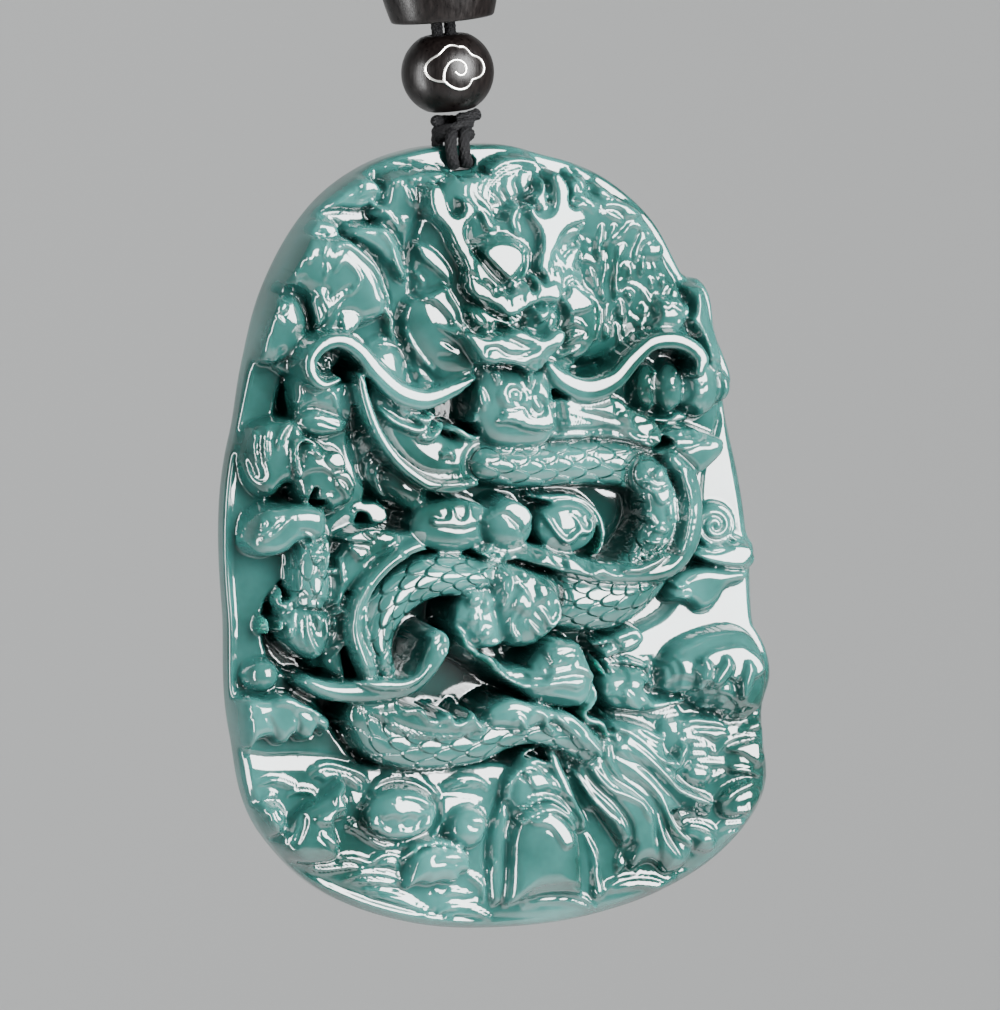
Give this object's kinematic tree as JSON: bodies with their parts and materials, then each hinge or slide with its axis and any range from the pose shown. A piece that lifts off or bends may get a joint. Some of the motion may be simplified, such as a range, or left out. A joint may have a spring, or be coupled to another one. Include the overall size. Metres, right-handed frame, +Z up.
{
  "type": "jade dragon pendant",
  "caption": "Carved jade plaque with a dragon in high relief, hung by a knotted black cord with a round and a barrel ebony bead.",
  "frame": {"origin": "the hang point: the inside top of the cord loop", "axes": "+Z up, +X to the right as the front is looked at, and the carved front faces -Y"},
  "size_m": [0.0477, 0.0154, 0.1069],
  "materials": {
    "jade": "highly polished dark green nephrite jade",
    "cord": "black braided cord",
    "ebony": "satin polished ebony",
    "silver": "polished silver wire inlay"
  },
  "bodies": {
    "root": {"jade_pendant": "jade", "plaque_knot": "cord", "round_bead": "ebony", "barrel_bead": "ebony", "thread_left": "cord", "thread_right": "cord", "top_knot": "cord", "hang_loop": "cord"}
  },
  "joints": []
}
